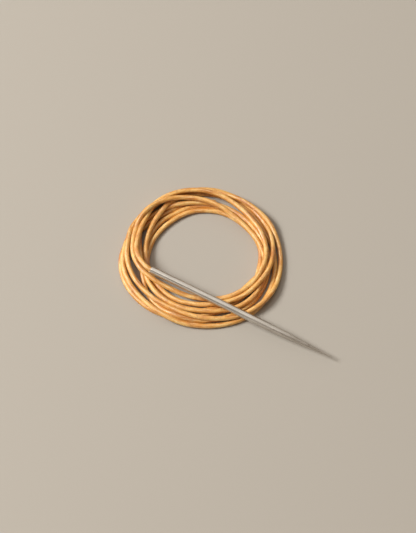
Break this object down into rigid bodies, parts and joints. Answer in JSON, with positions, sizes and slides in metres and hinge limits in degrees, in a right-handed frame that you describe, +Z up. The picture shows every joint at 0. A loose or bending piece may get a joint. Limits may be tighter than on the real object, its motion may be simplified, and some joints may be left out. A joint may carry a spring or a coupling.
{
  "type": "leather lacing needle on a coiled cord",
  "caption": "Straight steel lacing needle with a threaded hollow butt, screwed onto the end of a round leather cord that is wound in a loose coil.",
  "frame": {"origin": "on the surface that the coil lies on, on the coil's flat underside, below the place where the needle balances on the coil", "axes": "+X along the needle towards its point, seen from above; +Z up"},
  "size_m": [0.0657, 0.043, 0.0059],
  "materials": {
    "needle_steel": "satin, polished along its length",
    "cord_leather": "natural tan, waxed, smooth with fine creases"
  },
  "bodies": {
    "cord": {"cord_coil": "cord_leather", "cord_lead": "cord_leather"},
    "thread": {"cord_end": "cord_leather"},
    "needle": {"needle": "needle_steel"}
  },
  "joints": [
    {"name": "needle_turn", "type": "hinge", "parent": "cord", "child": "thread", "pos_m": [-0.025, 0, 0.0049], "axis": [0.9986, 0, -0.0523], "range_deg": [0, 4320]},
    {"name": "needle_travel", "type": "slide", "parent": "thread", "child": "needle", "axis": [0.9986, 0, -0.0523], "range_m": [0, 0.006]}
  ],
  "couplings": [
    {"joint": "needle_turn", "follows": "needle_travel", "rad_per_m": 12566}
  ]
}
